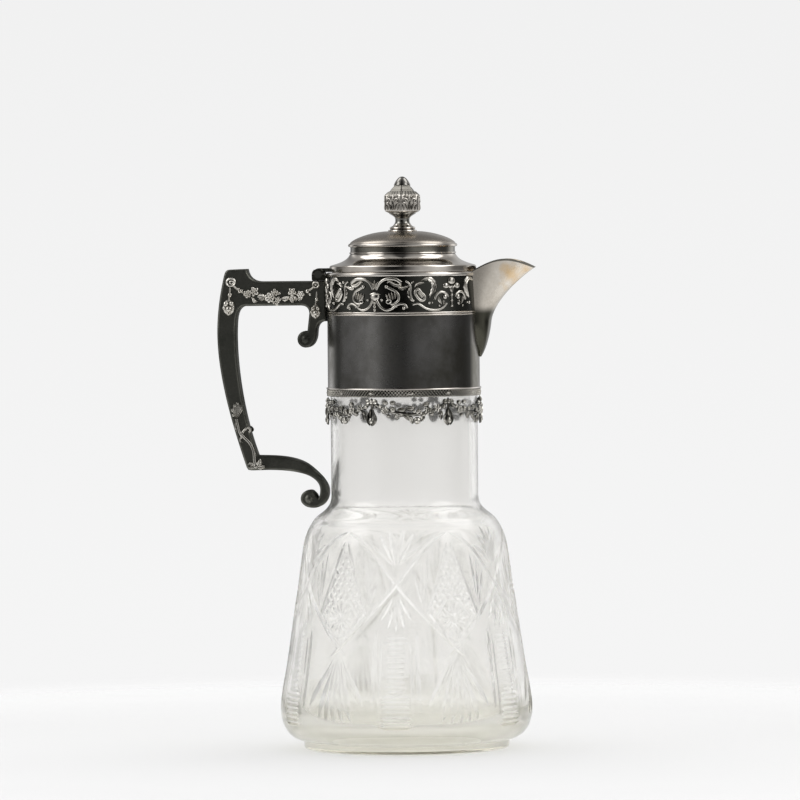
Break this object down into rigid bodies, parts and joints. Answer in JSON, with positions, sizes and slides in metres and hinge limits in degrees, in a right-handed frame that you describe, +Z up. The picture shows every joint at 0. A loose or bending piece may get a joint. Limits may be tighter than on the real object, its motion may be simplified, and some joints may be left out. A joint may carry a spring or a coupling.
{
  "type": "claret jug",
  "caption": "Cut-glass claret jug with a metal collar and beak spout, an angular cast handle and a hinged domed lid with a finial.",
  "frame": {"origin": "centre of the foot on the surface that the jug stands on", "axes": "+Z up through the middle of the glass, +X towards the spout, -X towards the handle"},
  "size_m": [0.1597, 0.126, 0.2857],
  "materials": {
    "cut_glass": "clear lead glass, cut and polished",
    "plaster": "matt plaster bed",
    "tarnished_silver": "silver-plated brass, dulled by tarnish",
    "bright_silver": "silver-plated brass, polished",
    "spout_silver": "silver-plated brass, satin with a warm tint near the tip",
    "relief_silver": "silver-plated relief, dark in its hollows and bright on its heights",
    "dark_cast_silver": "cast and plated, dark with tarnish",
    "brass_screw": "plain turned brass"
  },
  "bodies": {
    "jug": {"glass_body": "cut_glass", "neck_cement": "plaster", "collar": "tarnished_silver", "mouth_ring": "bright_silver", "frieze_band": "relief_silver", "frieze_upper_wire": "bright_silver", "frieze_lower_wire": "bright_silver", "border_bead": "bright_silver", "trellis_border": "relief_silver", "festoons": "relief_silver", "spout": "spout_silver", "handle": "dark_cast_silver", "garland_front": "relief_silver", "garland_back": "relief_silver", "grip_leaf_front": "relief_silver", "grip_leaf_back": "relief_silver", "hinge_fixed_leaf": "dark_cast_silver", "hinge_pin": "bright_silver"},
    "lid": {"hinge_lid_leaf": "dark_cast_silver", "lid_shell": "bright_silver", "lid_bezel": "bright_silver", "finial_base": "bright_silver", "finial_stem": "bright_silver", "finial_knob": "relief_silver", "finial_cap": "bright_silver", "finial_stud": "brass_screw", "finial_washer": "brass_screw", "finial_nut": "brass_screw"}
  },
  "joints": [
    {"name": "lid_hinge", "type": "hinge", "parent": "jug", "child": "lid", "pos_m": [-0.042, 0, 0.2372], "axis": [0, -1, 0], "range_deg": [0, 105]}
  ]
}
